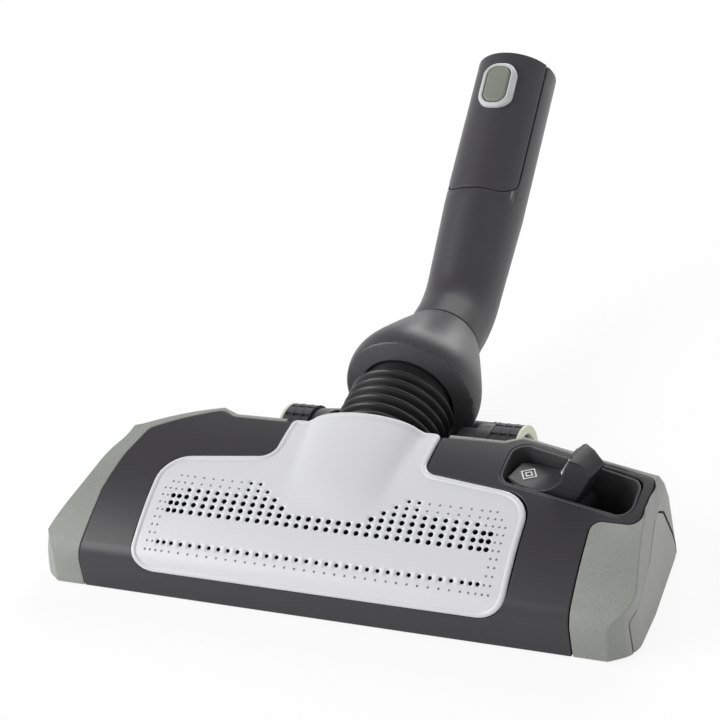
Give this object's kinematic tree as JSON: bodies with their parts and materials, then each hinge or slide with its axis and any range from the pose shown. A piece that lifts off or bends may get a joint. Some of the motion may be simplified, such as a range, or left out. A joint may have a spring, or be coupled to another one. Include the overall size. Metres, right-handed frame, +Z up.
{
  "type": "vacuum nozzle",
  "caption": "Floor nozzle for a vacuum cleaner: wide low head with a perforated air grille, rocker pedal that drops the brush, rear wheels, ribbed bellows and a swivelling neck socket.",
  "frame": {"origin": "on the floor under the sole, at the middle of its width and just behind the suction mouth", "axes": "+X across the head to the pedal side, +Y back along the neck, +Z up"},
  "size_m": [0.28, 0.3122, 0.1343],
  "materials": {
    "charcoal": "fine satin grain",
    "grey_green": "fine grain",
    "panel_grey": "smooth satin",
    "grille_white": "satin",
    "pedal_black": "satin",
    "foam_dark": "open foam",
    "bristle": "nylon pile",
    "steel": "drawn",
    "wheel_pale": "satin",
    "tread_dark": "matt",
    "bellows_black": "satin",
    "fitting": "satin",
    "button_pale": "satin",
    "button_green": "fine grain"
  },
  "bodies": {
    "head": {"lower_housing": "grey_green", "end_panel_left": "panel_grey", "end_panel_right": "panel_grey", "top_cover": "charcoal", "air_grille": "grille_white", "filter_mat": "foam_dark", "pedal_tray": "pedal_black", "pedal_pin": "steel", "sole_plate": "charcoal", "thread_lifters": "bristle", "screws": "steel", "duct_bracket": "charcoal", "axle_pins": "steel", "bellows": "bellows_black"},
    "brush": {"brush_carrier": "charcoal", "bristle_front": "bristle", "bristle_rear": "bristle"},
    "rocker": {"pedal": "pedal_black"},
    "wheel_left": {"wheel_core_left": "wheel_pale", "tyre_left": "tread_dark"},
    "wheel_right": {"wheel_core_right": "wheel_pale", "tyre_right": "tread_dark"},
    "collar": {"yoke": "charcoal", "bellows_ring": "fitting"},
    "neck": {"neck_tube": "charcoal", "swivel_clip": "fitting", "swivel_seal": "bellows_black", "neck_shield": "charcoal", "button_frame": "button_pale"},
    "button": {"button_pad": "button_green"}
  },
  "joints": [
    {"name": "collar_pitch", "type": "hinge", "parent": "head", "child": "collar", "pos_m": [0, 0.068, 0.0158], "axis": [1, 0, 0], "range_deg": [0, 40], "deforming": ["bellows"]},
    {"name": "neck_swivel", "type": "hinge", "parent": "collar", "child": "neck", "pos_m": [0, 0.12385, 0.03989], "axis": [0, 0.9962, 0.0872], "range_deg": [-90, 90]},
    {"name": "wheel_left_spin", "type": "hinge", "parent": "head", "child": "wheel_left", "pos_m": [-0.05225, 0.068, 0.0158], "axis": [1, 0, 0], "continuous": true},
    {"name": "wheel_right_spin", "type": "hinge", "parent": "head", "child": "wheel_right", "pos_m": [0.05225, 0.068, 0.0158], "axis": [1, 0, 0], "continuous": true},
    {"name": "pedal_rock", "type": "hinge", "parent": "head", "child": "rocker", "pos_m": [0.1002, 0.0174, 0.031], "axis": [0.2334, 0.9724, 0], "range_deg": [0, 50]},
    {"name": "brush_drop", "type": "slide", "parent": "head", "child": "brush", "axis": [0, 0, -1], "range_m": [0, 0.005]},
    {"name": "button_press", "type": "slide", "parent": "neck", "child": "button", "axis": [0, 0.5563, -0.831], "range_m": [0, 0.0015], "stiffness_N_per_m": 400, "springref_m": -0.002}
  ],
  "couplings": [
    {"joint": "brush_drop", "follows": "pedal_rock", "m_per_rad": 0.0057296}
  ]
}
